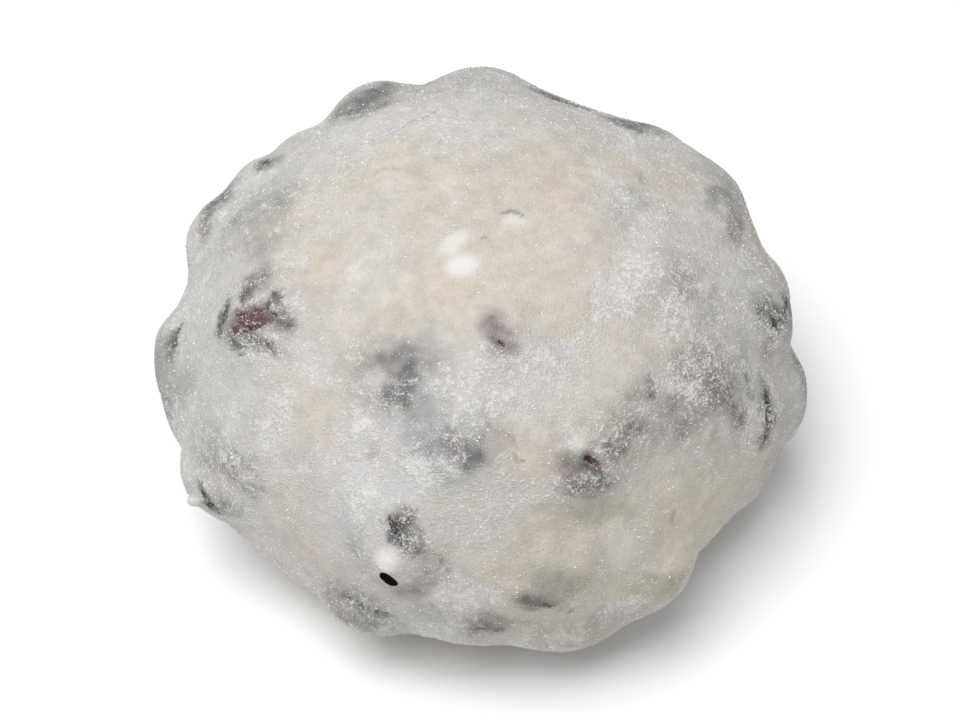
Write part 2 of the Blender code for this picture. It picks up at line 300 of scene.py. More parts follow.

# Thin lines of bare, dark or pale skin: half width, tint, share, then bearing and elevation of each point that it runs
# through
STROKES = (
    (0.00020, BLACK, 0.75, ((-68, 31), (-65, 35), (-64, 38))),
    (0.00022, BLACK, 0.75, ((-65, 33), (-62, 36.5), (-60, 40))),
    (0.00020, BLACK, 0.70, ((-61, 39), (-59, 38.5))),
    (0.00042, BLACK, 1.00, ((-84.5, 18.6), (-84, 16.8), (-82, 14.8))),
    (0.00025, BLACK, 0.50, ((-52, 19.5), (-48, 18.3), (-45, 15))),
    (0.00025, BLACK, 0.40, ((-54, 18), (-50, 16), (-48, 13))),
    (0.00034, BLACK, 1.00, ((-57.5, 6), (-56, 4), (-53.5, 2.5))),
    (0.00014, WINE, 0.60, ((92, 83.8), (89, 82.4), (84, 80.8))),
    (0.00036, BLACK, 0.95, ((-17.5, 24), (-16, 21.8), (-13.5, 18.8))),
    (0.00020, GREY, 0.45, ((-10, 20), (-7, 16.3), (-6, 12.5))),
    (0.00020, GREY, 0.50, ((-11, 17), (-9, 11.5))),
    (0.00042, BLACK, 0.95, ((69, 18.5), (67.5, 16.5), (65.8, 14.5), (62.5, 11))),
    (0.00022, BLACK, 0.70, ((69, 26), (67, 22.9), (64, 20.2))),
    (0.00030, BLACK, 1.00, ((91, 20), (88, 21.6), (84, 23.4))),
    (0.00035, BLACK, 0.70, ((166, 39), (158, 39), (150, 39))),
    # the next two lines are paler, in the starch's colour, along the tops of two raised folds on the right
    (0.00026, POWDER, 0.60, ((68, 31.5), (69.5, 28), (69, 24), (66, 21))),
    (0.00060, POWDER, 0.35, ((51, 25), (50, 19), (48, 12))),
    (0.00036, BLACK, 1.00, ((-26, -0.6), (-22, -0.9), (-17, -2))),
    (0.00030, BLACK, 0.70, ((11, 7), (14, 4.6), (16, 1))),
    (0.00025, BLACK, 0.55, ((-3, -0.6), (2, -1.2), (5, -2.5))),
    (0.00020, GREY, 0.50, ((-9, 4), (-4, 5.5), (0, 7))),
    (0.00015, WINE, 0.30, ((7.5, 40.5), (8.5, 38), (8, 35.7), (10, 35.6))),
    (0.00018, GREY, 0.45, ((2, 43), (0, 39.7), (0, 37))),
    (0.00024, WINE, 0.35, ((-21, 79.7), (-9, 81.9), (9, 82.7))),
    (0.00025, WINE, 0.45, ((-144, 54), (-154, 55.4), (-165, 53.7))),
)

# Places with more starch (above 0) or less (below 0): bearing, elevation, half length, half width, turn, amount
DUST_PLACES = (
    # the bare middle of the crown
    (-43, 62, 0.0072, 0.0042, 10, -0.35),
    (59, 75, 0.0072, 0.0062, -43, -0.45),
    (-109, 74, 0.0062, 0.0042, -36, -0.35),
    (-20, 68, 0.0060, 0.0050, 0, -0.35),
    (25, 66, 0.0060, 0.0040, 0, -0.35),
    (-83, 58, 0.0050, 0.0040, 0, -0.25),
    (128, 68, 0.0050, 0.0040, 0, -0.30),
    (118, 32, 0.0032, 0.0026, 82, -0.35),
    # bare or thin places on the sides
    (-35, 10, 0.0060, 0.0050, 0, -0.30),
    (46, 17, 0.0070, 0.0050, 0, -0.25),
    (48, 3, 0.0070, 0.0060, 0, -0.30),
    (14, 17, 0.0060, 0.0040, 0, -0.20),
    (8, 41, 0.0028, 0.0018, 0, -0.30),
    (13, 36, 0.0028, 0.0016, 46, -0.25),
    (46, 45, 0.0040, 0.0030, 0, -0.20),
    (0, 14, 0.0060, 0.0040, 0, -0.10),
    # drifts of starch
    (-45, 49, 0.0026, 0.0022, 77, -0.05),
    (-34, 47.5, 0.0020, 0.0014, 57, -0.05),
    (-48, 29, 0.0036, 0.0016, -76, 0.32),
    (-31, 38, 0.0034, 0.0017, 40, 0.28),
    (-15, 38, 0.0034, 0.0024, 0, 0.02),
    (-13, 32.6, 0.0022, 0.0014, -46, 0.32),
    (-23, 24.5, 0.0026, 0.0016, 76, 0.25),
    (64, 56.5, 0.0052, 0.0024, -9, 0.35),
    (60, 44, 0.0034, 0.0013, -18, 0.20),
    (26, 52, 0.0030, 0.0016, -4, 0.15),
    (0, 50, 0.0060, 0.0024, 0, 0.10),
    (75, 43, 0.0010, 0.0009, -71, 0.20),
    (49.5, 18, 0.0040, 0.0008, -72, 0.45),
    (-155, 61.5, 0.0060, 0.0044, -34, 0.05),
    (-122, 52, 0.0052, 0.0038, -53, 0.10),
    (-3, 7, 0.0040, 0.0020, 0, 0.25),
    (27, -2, 0.0030, 0.0012, 34, 0.25),
    (-11, 34.0, 0.0030, 0.0010, 20, 0.25),
)

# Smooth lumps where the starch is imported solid: bearing, elevation, half length, half width, turn, amount
PACKED = (
    (-14, 75, 0.0017, 0.0014, 27, 1.00),
    (-32, 80, 0.0018, 0.0010, 74, 0.80),
    (-16, 16.8, 0.0015, 0.0014, 28, 0.95),
    (73, 81.7, 0.0011, 0.0006, 80, 0.50),
    (78, 40.7, 0.0010, 0.0007, 0, 0.55),
    (-31, 46.5, 0.0015, 0.0010, 57, 0.25),
    (56, 21.8, 0.0018, 0.0010, -77, 0.55),
    (22, 37, 0.0008, 0.0006, 30, 0.50),
    (49, 36.9, 0.0007, 0.0006, -76, 0.45),
    (-58.5, 1.5, 0.0009, 0.0006, 40, 0.60),
    (79, 20.5, 0.0011, 0.0005, -49, 0.55),
    (27, 13, 0.0030, 0.0016, -90, 0.50),
)

# Rounded knobs of packed starch or pinched dough: bearing, elevation, half length, half width, turn, rise
KNOBS = (
    (-14, 75, 0.0016, 0.0013, 27, 0.00045),
    (-32, 80, 0.0018, 0.0010, 74, 0.00015),
    (-16, 16.8, 0.0013, 0.0012, 28, 0.00080),
    (78, 40.7, 0.0010, 0.0008, 0, 0.00022),
    (24, 36.5, 0.0009, 0.0007, 30, 0.00020),
    (-58.5, 1.5, 0.0009, 0.0006, 40, 0.00070),
)

# The small round hole under the front knob, painted on the skin and not cut: the bean's dark skin seen through it,
# darkened further by painted shade inside the hole; bearing, elevation, half length, half width, turn
HOLE = (-16.6, 10.8, 0.00080, 0.00150, 14)

# Folds of the skin: half width, height, then bearing and elevation of each point that it runs through
FOLDS = (
    (0.00045, 0.00020, ((-100, 57), (-119, 65), (-157, 73), (147, 69.5), (119, 60), (100, 55))),
    (0.00035, -0.00030, ((-143, 54.4), (-153, 55.5), (-165, 54.3))),
    (0.00028, 0.00045, ((68, 32), (70, 28), (69, 24), (66, 21))),
    (0.00030, 0.00040, ((73, 15), (69, 12), (65, 9.5))),
    (0.00065, 0.00030, ((51, 26), (51, 23), (50, 18), (47, 11))),
    (0.00022, -0.00025, ((7, 40.8), (8, 37.5), (8, 35.7), (10, 35.7))),
    (0.00022, -0.00025, ((2, 43), (0, 39.7), (0, 37))),
    (0.00025, -0.00045, ((-84.5, 18.2), (-84, 16.8), (-82, 14.5))),
    (0.00030, -0.00030, ((-25, -0.8), (-22, -0.9), (-17, -2))),
    (0.00025, -0.00035, ((91, 20), (88, 21.6), (84, 23.4))),
    (0.00022, -0.00020, ((-21, 79.7), (-9, 81.9), (9, 82.7))),
    (0.00022, -0.00012, ((92, 83.8), (89, 82.4), (84, 80.8))),
    (0.00025, -0.00025, ((-68, 31), (-65, 35), (-64, 38))),
    (0.00025, -0.00020, ((-65, 33), (-62, 36.5), (-60, 40))),
    (0.00050, -0.00030, ((-24, 16), (-21, 9), (-15, 6), (-10, 8))),
)


# ---------------------------------------------------------------- noise
def lattice(seed):
    """A shuffled order of 256 numbers and a unit vector for each."""
    rng = np.random.RandomState(seed)
    order = rng.permutation(256)
    arrows = rng.normal(size=(256, 3))
    return order, arrows / np.linalg.norm(arrows, axis=1)[:, None]


def noise(points, grain, seed):
    """Gradient noise between about -1 and 1, with features about one grain across."""
    order, arrows = lattice(seed)
    place = points / grain + 31.7 * seed
    cell = np.floor(place).astype(np.int64)
    inside = place - cell
    ease = inside ** 3 * (inside * (inside * 6.0 - 15.0) + 10.0)
    total = np.zeros(len(points))
    for corner in range(8):
        step = np.array((corner & 1, corner >> 1 & 1, corner >> 2 & 1))
        x, y, z = (cell + step).T & 255
        arrow = arrows[order[(order[(order[x] + y) & 255] + z) & 255]]
        share = np.prod(np.where(step == 1, ease, 1.0 - ease), axis=1)
        total += share * np.einsum("ij,ij->i", arrow, inside - step)
    return total * 1.6


def layered(points, grain, seed, layers=3, keep=0.5):
    """Noise with finer and weaker layers on top."""
    total = np.zeros(len(points))
    weight = 1.0
    for layer in range(layers):
        total += weight * noise(points, grain * 0.5 ** layer, seed + layer)
        weight *= keep
    return total


def smoothstep(low, high, value):
    share = np.clip((value - low) / (high - low), 0.0, 1.0)
    return share * share * (3.0 - 2.0 * share)


# ---------------------------------------------------------------- shape
def direction(bearing, elevation):
    turn = math.radians(bearing)
    rise = math.radians(elevation)
    return np.array((math.sin(turn) * math.cos(rise), -math.cos(turn) * math.cos(rise), math.sin(rise)))


def plain_dome(points):
    """Rough signed distance to the dome without its beans, negative inside."""
    x, y, z = points[..., 0], points[..., 1], points[..., 2]
    bearing = np.arctan2(x, -y)
    swell = np.ones_like(bearing)
    for waves, share, phase in PLAN_WAVES:
        swell = swell + share * np.cos(waves * (bearing - math.radians(phase)))
    level = z - WAIST_HEIGHT
    above = level > 0.0
    across = np.hypot(x / HALF_WIDTH, y / HALF_DEPTH) / swell
    upright = np.abs(level) / np.where(above, CROWN_HEIGHT - WAIST_HEIGHT, TUCK_DEPTH)
    fullness = np.where(above, CROWN_FULLNESS, TUCK_FULLNESS)
    ratio = np.maximum((across ** fullness + upright ** fullness) ** (1.0 / fullness), 1e-9)
    size = np.sqrt(x * x + y * y + level * level) / ratio
    return (ratio - 1.0) * np.minimum(size, REACH)


def march(field, directions, near, far, steps):
    """How far along each ray from the core the field's inside ends, between near and far."""
    for _ in range(steps):
        middle = (near + far) / 2.0
        inside = field(CORE + directions * middle[:, None]) < 0.0
        near = np.where(inside, middle, near)
        far = np.where(inside, far, middle)
    return near


def dome_point(bearing, elevation):
    """The point of the plain dome at a bearing and an elevation."""
    ray = direction(bearing, elevation)[None]
    return CORE + ray[0] * march(plain_dome, ray, np.zeros(1), np.full(1, REACH), 30)[0]


class Bean:
    """A kidney-shaped bean lying on its side just under the dome's surface."""

    def __init__(self, bearing, elevation, length, turn, rise):
        self.half = BEAN_SHAPE * length / 2.0
        surface = dome_point(bearing, elevation)
        offsets = np.eye(3) * 0.00001
        outward = plain_dome(surface + offsets) - plain_dome(surface - offsets)
        outward /= np.linalg.norm(outward)
        level = np.cross((0.0, 0.0, 1.0), outward)
        level /= np.linalg.norm(level)
        uphill = np.cross(outward, level)
        angle = math.radians(turn)
        long_axis = math.cos(angle) * level + math.sin(angle) * uphill
        self.axes = np.stack((long_axis, np.cross(outward, long_axis), outward))
        self.centre = surface + outward * (rise - self.half[2])

    def field(self, points, growth=0.0):
        """Rough signed distance to the bean, grown or shrunk by one growth or one for each point."""
        local = (points - self.centre) @ self.axes.T
        local[..., 1] -= BEAN_BEND * self.half[0] * (local[..., 0] / self.half[0]) ** 2
        half = self.half + np.reshape(growth, (-1, 1))
        ratio = np.maximum(np.linalg.norm(local / half, axis=-1), 1e-9)
        gradient = np.maximum(np.linalg.norm(local / half ** 2, axis=-1), 1e-6)
        return ratio * (ratio - 1.0) / gradient


def cube_net(count):
    """Directions and four-sided faces of a cube's net blown up to a sphere, with the faces crowded upwards."""
    ticks = np.tan(np.linspace(-math.pi / 4.0, math.pi / 4.0, count + 1))
    first, second = np.meshgrid(ticks, ticks, indexing="ij")
    corners = []
    faces = []
    step = np.arange(count)
    row, column = np.meshgrid(step, step, indexing="ij")
    base = (row * (count + 1) + column).ravel()
    square = np.stack((base, base + count + 1, base + count + 2, base + 1), axis=1)
    for axis in range(3):
        for side in (-1.0, 1.0):
            sheet = np.empty((count + 1, count + 1, 3))
            sheet[..., axis] = side
            sheet[..., (axis + 1) % 3] = first * side
            sheet[..., (axis + 2) % 3] = second
            faces.append(square + len(corners) * (count + 1) ** 2)
            corners.append(sheet.reshape(-1, 3))
    corners = np.concatenate(corners)
    faces = np.concatenate(faces)
    _, kept, where = np.unique(np.round(corners, 6), axis=0, return_index=True, return_inverse=True)
    corners = corners[kept]
    faces = where.ravel()[faces]
    rays = corners / np.linalg.norm(corners, axis=1)[:, None]
    height = 2.0 * ((rays[:, 2] + 1.0) / 2.0) ** NET_SHIFT - 1.0
    around = np.maximum(np.hypot(rays[:, 0], rays[:, 1]), 1e-9)
    shrink = np.sqrt(np.maximum(1.0 - height * height, 0.0)) / around
    return np.stack((rays[:, 0] * shrink, rays[:, 1] * shrink, height), axis=1), faces


def focused(rays):
    """Draws the net's rays together round the places of interest, so that the faces there are smaller."""
    moved = rays.copy()
    for bearing, elevation, radius in FOCUS:
        centre = direction(bearing, elevation)
        gap = centre - rays
        moved += FOCUS_PULL * gap * np.exp(-np.sum(gap * gap, axis=1) / radius ** 2)[:, None]
    return moved / np.linalg.norm(moved, axis=1)[:, None]


def distance_to_path(points, path):
    """Distance from each point to a run of straight pieces."""
    least = np.full(len(points), 1.0)
    for start, end in zip(path[:-1], path[1:]):
        along = end - start
        share = np.clip((points - start) @ along / max(along @ along, 1e-12), 0.0, 1.0)
        least = np.minimum(least, np.linalg.norm(points - start - share[:, None] * along, axis=1))
    return least


class Place:
    """A place on the skin, with the directions level, uphill and outward there."""

    def __init__(self, point, turn=0.0):
        self.point = point
        offsets = np.eye(3) * 0.00001
        outward = plain_dome(point + offsets) - plain_dome(point - offsets)
        outward /= np.linalg.norm(outward)
        level = np.cross((0.0, 0.0, 1.0), outward)
        level /= np.linalg.norm(level)
        uphill = np.cross(outward, level)
        angle = math.radians(turn)
        along = math.cos(angle) * level + math.sin(angle) * uphill
        self.axes = np.stack((along, np.cross(outward, along), outward))

    def distance(self, points, across, up):
        """Distance from the place in units of an ellipse with the given half sizes."""
        local = (points - self.point) @ self.axes.T
        depth = local[:, 2] / (across + up + 0.002)
        return np.sqrt((local[:, 0] / across) ** 2 + (local[:, 1] / up) ** 2 + depth ** 2)


# ---------------------------------------------------------------- the dough
class Dough:
    """The dough's points, and what the skin is like at each of them."""

    def __init__(self, count):
        self.shown = {name: Bean(*row[:5]) for name, row in SHOWN_BEANS.items()}
        self.covered = [Bean(*row[:5]) for row in COVERED_BEANS]
        self.rays, self.faces = cube_net(count)
        self.rays = focused(self.rays)
        plain = march(plain_dome, self.rays, np.zeros(len(self.rays)), np.full(len(self.rays), REACH), 22)
        smooth = march(self.field, self.rays, plain - 0.001, plain + 0.004, 14)
        self.points = CORE + self.rays * smooth[:, None]
        drift = np.stack([layered(self.points, 0.0024, seed) for seed in (91, 94, 97)], axis=1)
        fine = np.stack([noise(self.points, 0.0010, seed) for seed in (81, 84, 87)], axis=1)
        self.warped = self.points + 0.00065 * drift + 0.00025 * fine
        self.dust = self.spread_dust()
        reach = smooth + self.raise_relief()
        reach = self.open_over_beans(reach)
        floor = np.where(self.rays[:, 2] < -1e-6, CORE[2] / np.maximum(-self.rays[:, 2], 1e-6), REACH)
        reach = np.minimum(reach, floor)
        self.under = self.seen_through()
        self.packed = np.zeros(len(self.points))
        for bearing, elevation, across, up, turn, amount in PACKED:
            self.packed += amount * self.patch(self.points, bearing, elevation, across, up, turn)
        self.points = CORE + self.rays * reach[:, None]
        self.hole = Place(self.on_skin(self.points, *HOLE[:2]), HOLE[4])

    def on_skin(self, points, bearing, elevation):
        return points[np.argmax(self.rays @ direction(bearing, elevation))]

    def patch(self, points, bearing, elevation, across, up, turn):
        """1 inside an ellipse on the skin, easing to 0 outside it."""
        place = Place(self.on_skin(points, bearing, elevation), turn)
        return 1.0 - smoothstep(0.35, 1.45, place.distance(points, across, up))

    def distance_to(self, course):
        """Distance from a line that follows the skin."""
        ends = [direction(*place) for place in course]
        path = []
        for start, end in zip(ends, ends[1:]):
            for share in (0.0, 0.33, 0.67, 1.0):
                ray = start * (1.0 - share) + end * share
                path.append(self.warped[np.argmax(self.rays @ ray)])
        return distance_to_path(self.warped, path)

    def field(self, points):
        total = np.exp(-np.clip(plain_dome(points) / BLEND, -60.0, 60.0))
        for bean in self.covered:
            total += self.bump(bean, points, COVER)
        for bean in self.shown.values():
            total += self.bump(bean, points, THIN_COVER)
        return -BLEND * np.log(total)

    def bump(self, bean, points, growth):
        """A bean's share in the field, worked out only near the bean."""
        share = np.zeros(len(points))
        near = np.linalg.norm(points - bean.centre, axis=1) < bean.half[0] + 0.006
        share[near] = np.exp(-np.clip(bean.field(points[near], growth) / BLEND, -60.0, 60.0))
        return share

    def spread_dust(self):
        """How much starch lies on the skin: 0 is bare, 1 is thickly covered."""
        dust = 0.50 + 0.20 * layered(self.points, 0.0075, 21) + 0.14 * layered(self.points, 0.0020, 31)
        for bearing, elevation, across, up, turn, amount in DUST_PLACES:
            dust += amount * self.patch(self.warped, bearing, elevation, across, up, turn)
        for bearing, elevation, across, up, turn, _, _, amount in PATCHES:
            dust += amount * self.patch(self.warped, bearing, elevation, across, up, turn)
        return np.clip(dust, 0.0, 2.0)

    def raise_relief(self):
        points = self.points
        relief = 0.00020 * layered(points, 0.0065, 41, 2)
        relief += 0.00006 * layered(points, 0.0022, 51, 2)
        crust = smoothstep(0.35, 0.85, self.dust)
        relief += crust * 0.00008 * layered(points, 0.0010, 61, 2)
        relief += crust * 0.00015 * smoothstep(0.30, 0.75, noise(points, 0.0016, 71))
        for bearing, elevation, across, up, turn, height in KNOBS:
            relief += height * self.patch(points, bearing, elevation, across, up, turn)
        for width, height, course in FOLDS:
            strength = 0.65 + 0.5 * noise(points, 0.0025, 95)
            relief += height * strength * np.exp(-(self.distance_to(course) / width) ** 2)
        return relief

    def open_over_beans(self, reach):
        """Draws the dough back to just under a bean's own surface, with a ragged edge, at each opening."""
        ragged = 0.35 * layered(self.points, 0.0009, 77, 2)
        for name, bearing, elevation, across, up, turn in OPENINGS:
            bean = self.shown[name]
            middle = self.rays @ (bean.centre - CORE)
            inside = bean.field(CORE + self.rays * middle[:, None]) < 0.0
            bean_reach = march(bean.field, self.rays, middle, middle + 0.007, 14)
            place = Place(self.on_skin(self.points, bearing, elevation), turn)
            distance = place.distance(self.points, across, up) + ragged
            share = np.where(inside, 1.0 - smoothstep(0.9, 1.15, distance), 0.0)
            reach = reach * (1.0 - share) + np.minimum(reach, bean_reach - SUNK) * share
        return reach

    def seen_through(self):
        """The colour of the dough itself, with the beans showing through it and painted shade round the front knob."""
        points = self.points
        warm = smoothstep(-0.5, 0.7, layered(points, 0.0085, 101))
        colour = mixed(PALE_DOUGH, CREAM, warm)
        mottle = 0.07 * layered(points, 0.0030, 105) + 0.04 * layered(points, 0.0010, 107, 2)
        colour *= (1.0 + mottle)[:, None]
        uneven = 0.00045 * layered(points, 0.0022, 111)
        tinted = smoothstep(-0.3, 0.3, noise(points, 0.011, 113))
        bean_tint = mixed(GREY, GREEN_GREY, tinted)
        shades = [(bean, row[6]) for bean, row in zip(self.shown.values(), SHOWN_BEANS.values())]
        shades += [(bean, row[5]) for bean, row in zip(self.covered, COVERED_BEANS)]
        for bean, shade in shades:
            near = np.linalg.norm(points - bean.centre, axis=1) < bean.half[0] + 0.006
            thick = np.maximum(bean.field(points[near]) + uneven[near], 0.0)
            share = shade * np.exp(-(thick / 0.0013) ** 1.5)
            colour[near] = mixed(colour[near], bean_tint[near], share)
        blotchy = 1.0 + 0.45 * layered(points, 0.0010, 109, 2)
        # the patches hold tints of the skin and, round the front knob, painted shade
        for bearing, elevation, across, up, turn, tint, amount, _ in PATCHES:
            share = amount * self.patch(self.warped, bearing, elevation, across, up, turn) * blotchy
            colour = mixed(colour, tint, np.clip(share, 0.0, 1.0))
        for width, tint, amount, course in STROKES:
            broken = smoothstep(-0.45, 0.05, noise(points, 0.0009, 121))
            share = amount * broken * np.exp(-(self.distance_to(course) / width) ** 2)
            colour = mixed(colour, tint, share)
        return colour


def mixed(first, second, share):
    """Colours between two colours or two lists of colours."""
    share = np.asarray(share)[:, None]
    return np.asarray(first) * (1.0 - share) + np.asarray(second) * share


def keep_in_box(points, margin=0.00003, soft=0.0003):
    """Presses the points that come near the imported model's box softly back inside it."""
    low, high = (np.array(corner) for corner in CAD_BOX)
    for axis in range(3):
        over = points[:, axis] - (high[axis] - margin)
        points[:, axis] -= (over + np.hypot(over, soft)) / 2.0
        if axis < 2:
            over = (low[axis] + margin) - points[:, axis]
            points[:, axis] += (over + np.hypot(over, soft)) / 2.0
    return points


def new_piece(name, points, faces, material, replaced=()):
    mesh = bpy.data.meshes.new(name)
    mesh.from_pydata(points.tolist(), [], faces.tolist())
    mesh.materials.append(material)
    mesh.shade_smooth()
    piece = bpy.data.objects.new(name, mesh)
    bpy.context.scene.collection.objects.link(piece)
    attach(piece, "root")
    if replaced:
        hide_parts(*replaced)
    return piece


def add_attribute(mesh, name, values):
    """A number or a colour for each point of a mesh."""
    if values.ndim == 1:
        mesh.attributes.new(name, "FLOAT", "POINT").data.foreach_set("value", values.astype(np.float32))
        return
    rgba = np.ones((len(values), 4), np.float32)
    rgba[:, :3] = values
    mesh.attributes.new(name, "FLOAT_COLOR", "POINT").data.foreach_set("color", rgba.ravel())


# ---------------------------------------------------------------- materials
class Nodes:
    """Short calls for building a material's nodes."""

    def __init__(self, name):
        self.material = bpy.data.materials.new(name)
        self.material.use_nodes = True
        self.tree = self.material.node_tree
        self.shader = self.tree.nodes["Principled BSDF"]
        self.place = self.add("ShaderNodeTexCoord").outputs["Object"]

    def add(self, kind, **settings):
        node = self.tree.nodes.new(kind)
        for name, value in settings.items():
            setattr(node, name, value)
        return node

    def link(self, source, target):
        if hasattr(source, "links") or hasattr(source, "is_linked"):
            self.tree.links.new(source, target)
        else:
            target.default_value = source

    def attribute(self, name, output="Fac"):
        return self.add("ShaderNodeAttribute", attribute_name=name).outputs[output]

    def noise(self, grain, detail=2.0, roughness=0.5, distortion=0.0):
        node = self.add("ShaderNodeTexNoise")
        self.link(self.place, node.inputs["Vector"])
        node.inputs["Scale"].default_value = 1.0 / grain
        node.inputs["Detail"].default_value = detail
        node.inputs["Roughness"].default_value = roughness
        node.inputs["Distortion"].default_value = distortion
        return node.outputs["Fac"]

    def centred_noise(self, grain, detail, roughness):
        """Noise about 0, mostly within a quarter of it."""
        return self.maths("SUBTRACT", self.noise(grain, detail, roughness), 0.5)

    def total(self, first, *others):
        for value in others:
            first = self.maths("ADD", first, value)
        return first

    def grey(self, value):
        node = self.add("ShaderNodeCombineColor")
        for socket in node.inputs[:3]:
            self.link(value, socket)
        return node.outputs[0]

    def sparkles(self, spacing, radius, share):
        """Scattered round grains: 1 on a grain, 0 off it; radius is in spacings, share is the part of them kept."""
        node = self.add("ShaderNodeTexVoronoi")
        self.link(self.place, node.inputs["Vector"])
        node.inputs["Scale"].default_value = 1.0 / spacing
        grain = self.maths("LESS_THAN", node.outputs["Distance"], radius)
        kept = self.maths("LESS_THAN", self.add_separate(node.outputs["Color"]), share)
        return self.maths("MULTIPLY", grain, kept)

    def add_separate(self, colour):
        node = self.add("ShaderNodeSeparateColor")
        self.link(colour, node.inputs[0])
        return node.outputs[0]

    def hole(self, place, across, up):
        """1 inside a small crisp ellipse on the skin."""
        total = 0.0
        for axis, half in zip(place.axes, (across, up, across + up)):
            offset = self.add("ShaderNodeVectorMath", operation="DOT_PRODUCT")
            self.link(self.place, offset.inputs[0])
            offset.inputs[1].default_value = tuple(axis / half)
            shifted = self.maths("SUBTRACT", offset.outputs["Value"], float(place.point @ axis / half))
            total = self.maths("ADD", self.maths("MULTIPLY", shifted, shifted), total)
        return self.maths("SUBTRACT", 1.0, self.ramp(total, 0.8, 1.1))

    def maths(self, operation, first, second=0.0, third=0.0):
        node = self.add("ShaderNodeMath", operation=operation)
        for socket, value in zip(node.inputs, (first, second, third)):
            self.link(value, socket)
        return node.outputs[0]

    def ramp(self, value, low, high):
        """0 under low, 1 over high, eased in between."""
        node = self.add("ShaderNodeMapRange", interpolation_type="SMOOTHSTEP", clamp=True)
        self.link(value, node.inputs["Value"])
        self.link(low, node.inputs["From Min"])
        self.link(high, node.inputs["From Max"])
        return node.outputs["Result"]

    def mix(self, share, first, second, blend="MIX"):
        node = self.add("ShaderNodeMix", data_type="RGBA", blend_type=blend)
        sockets = [socket for socket in node.inputs if socket.enabled]
        self.link(share, sockets[0])
        for value, socket in ((first, sockets[1]), (second, sockets[2])):
            self.link((*value, 1.0) if isinstance(value, tuple) else value, socket)
        return next(socket for socket in node.outputs if socket.enabled)

    def bump(self, height, distance, strength=1.0):
        node = self.add("ShaderNodeBump")
        node.inputs["Strength"].default_value = strength
        node.inputs["Distance"].default_value = distance
        self.link(height, node.inputs["Height"])
        self.link(node.outputs["Normal"], self.shader.inputs["Normal"])


def dough_material(hole):
    """Soft dough under a thin film of starch, with drifts, clumps and grains of it on top, and painted shade round the
    front knob and in the hole under it.
    """
    nodes = Nodes("dusted_dough")
    # the dough's colour with the beans seen through it, and painted shade round the front knob
    under = nodes.attribute("under", "Color")
    dust = nodes.attribute("dust")
    packed = nodes.attribute("packed")
    grain = nodes.centred_noise(0.00022, 2.0, 0.7)
    clump = nodes.centred_noise(0.00050, 2.0, 0.6)
    drift = nodes.centred_noise(0.0013, 3.0, 0.6)
    smear = nodes.centred_noise(0.0034, 2.0, 0.5)
    # the dough is cloudy by itself
    cloud = nodes.maths("MULTIPLY_ADD", nodes.centred_noise(0.0016, 4.0, 0.65), 0.55, 1.0)
    colour = nodes.mix(1.0, under, nodes.grey(cloud), "MULTIPLY")
    thin = nodes.total(dust, nodes.maths("MULTIPLY", smear, 0.9), nodes.maths("MULTIPLY", drift, 0.8))
    film = nodes.ramp(thin, 0.25, 1.10)
    colour = nodes.mix(nodes.maths("MULTIPLY", film, 0.52), colour, POWDER)
    loose = nodes.total(
        dust,
        nodes.maths("MULTIPLY", grain, 2.1),
        nodes.maths("MULTIPLY", clump, 1.3),
        nodes.maths("MULTIPLY", drift, 1.1),
    )
    cover = nodes.ramp(loose, 0.38, 0.92)
    colour = nodes.mix(nodes.maths("MULTIPLY", cover, 0.82), colour, POWDER)
    colour = nodes.mix(nodes.maths("MULTIPLY", nodes.sparkles(0.00028, 0.16, 0.45), 0.50), colour, SPARKLE)
    colour = nodes.mix(packed, colour, PACKED_POWDER)
    # painted hole: the dark bean skin seen through the hole, made darker than the bean by painted shade inside it
    opening = nodes.hole(hole, *HOLE[2:4])
    colour = nodes.mix(opening, colour, (0.012, 0.007, 0.006))
    nodes.link(colour, nodes.shader.inputs["Base Color"])
    nodes.shader.inputs["Roughness"].default_value = 0.8
    dull = nodes.maths("SUBTRACT", 1.0, opening)
    nodes.link(nodes.maths("MULTIPLY", dull, 0.3), nodes.shader.inputs["Specular IOR Level"])
    nodes.link(nodes.maths("MULTIPLY", dull, 0.2), nodes.shader.inputs["Subsurface Weight"])
    nodes.shader.inputs["Subsurface Radius"].default_value = (1.0, 0.85, 0.7)
    nodes.shader.inputs["Subsurface Scale"].default_value = 0.0008
    height = nodes.total(nodes.maths("MULTIPLY", cover, 0.35), grain, nodes.maths("MULTIPLY", clump, 0.8))
    smooth = nodes.maths("SUBTRACT", 1.0, nodes.maths("MULTIPLY", packed, 0.8))
    nodes.bump(nodes.maths("MULTIPLY", height, smooth), 0.00016, 0.75)
    return nodes.material


def starch_material():
    nodes = Nodes("starch")
    tone = nodes.noise(0.0010, 1.0)
    nodes.link(nodes.mix(nodes.ramp(tone, 0.35, 0.65), POWDER, SPARKLE), nodes.shader.inputs["Base Color"])
    nodes.shader.inputs["Roughness"].default_value = 0.7
    return nodes.material


def bean_material(name, skin):
    """A cooked bean's skin with starch caught on it."""
    nodes = Nodes(name)
    streak = nodes.noise(0.0012, 3.0, 0.6)
    grain = nodes.noise(0.00018, 2.0, 0.6)
    patch = nodes.noise(0.0008, 3.0, 0.6)
    light_skin = tuple(value * 1.8 + 0.01 for value in skin)
    colour = nodes.mix(nodes.ramp(streak, 0.35, 0.70), skin, light_skin)
    level = nodes.maths("ADD", nodes.maths("MULTIPLY", grain, 0.6), nodes.maths("MULTIPLY", patch, 0.6))
    cover = nodes.ramp(level, 0.56, 0.80)
    colour = nodes.mix(nodes.maths("MULTIPLY", cover, 0.75), colour, POWDER)
    nodes.link(colour, nodes.shader.inputs["Base Color"])
    nodes.link(nodes.ramp(cover, -0.6, 1.0), nodes.shader.inputs["Roughness"])
    nodes.shader.inputs["Specular IOR Level"].default_value = 0.4
    nodes.bump(level, 0.00015, 0.5)
    return nodes.material


